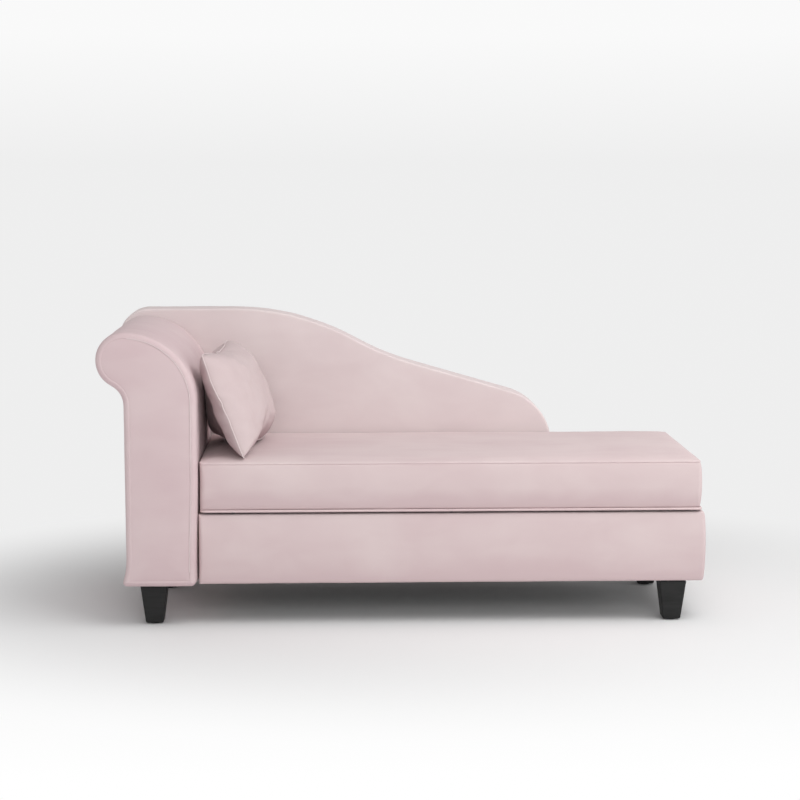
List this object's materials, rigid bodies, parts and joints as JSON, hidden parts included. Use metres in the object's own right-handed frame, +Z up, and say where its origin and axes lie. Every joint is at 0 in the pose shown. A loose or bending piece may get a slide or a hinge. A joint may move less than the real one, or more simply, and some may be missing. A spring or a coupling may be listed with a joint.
{
  "type": "recamier",
  "caption": "Velvet recamier with a scroll arm at one end, a back that falls in a soft S, a lift-off boxed seat over a storage box, tapered black legs and a loose lumbar pillow.",
  "frame": {"origin": "centre of the bounding box, on the floor under the glides", "axes": "+X along the length away from the arm, -Y to the front, +Z up"},
  "size_m": [1.646, 0.7, 0.819],
  "materials": {
    "velvet": "short-pile velvet",
    "foam": "open-cell foam and fibre",
    "plywood": "raw plywood",
    "pine": "planed pine",
    "hardboard": "smooth hardboard",
    "black_wood": "black satin lacquer",
    "zinc_steel": "zinc plated",
    "black_plastic": "moulded",
    "felt": "pressed felt",
    "black_lining": "non-woven lining",
    "webbing": "elastic webbing"
  },
  "bodies": {
    "base": {"arm_cover": "velvet", "arm_facing": "velvet", "back_cover": "velvet", "back_rear_cover": "velvet", "base_cover": "velvet", "arm_padding": "foam", "back_padding": "foam", "base_front_pad": "foam", "base_end_pad": "foam", "arm_front_board": "plywood", "arm_rear_board": "plywood", "back_panel": "plywood", "base_front_panel": "plywood", "base_rear_panel": "plywood", "base_left_panel": "plywood", "base_right_panel": "plywood", "arm_rails": "pine", "arm_posts": "pine", "arm_leg_blocks": "pine", "back_posts": "pine", "back_spacer": "pine", "base_battens": "pine", "base_leg_blocks": "pine", "arm_skin": "hardboard", "back_rear_board": "hardboard", "base_floor": "hardboard", "leg_front_left": "black_wood", "leg_front_right": "black_wood", "leg_rear_left": "black_wood", "leg_rear_right": "black_wood", "arm_bolts": "zinc_steel", "back_bolts": "zinc_steel", "leg_bolts": "zinc_steel", "leg_plates": "zinc_steel", "leg_glides": "black_plastic", "seat_bumpers": "felt", "base_dust_cover": "black_lining"},
    "seat": {"seat_frame": "pine", "seat_webbing": "webbing", "seat_foam": "foam", "seat_cover": "velvet", "seat_welt": "velvet", "seat_lining": "black_lining", "seat_cleats": "pine"},
    "pillow": {"pillow_insert": "foam", "pillow_cover": "velvet"}
  },
  "joints": [
    {"name": "seat_lift", "type": "slide", "parent": "base", "child": "seat", "axis": [0, 0, 1], "range_m": [0, 0.3]},
    {"name": "pillow_lift", "type": "slide", "parent": "seat", "child": "pillow", "axis": [0, 0, 1], "range_m": [0, 0.35]}
  ]
}
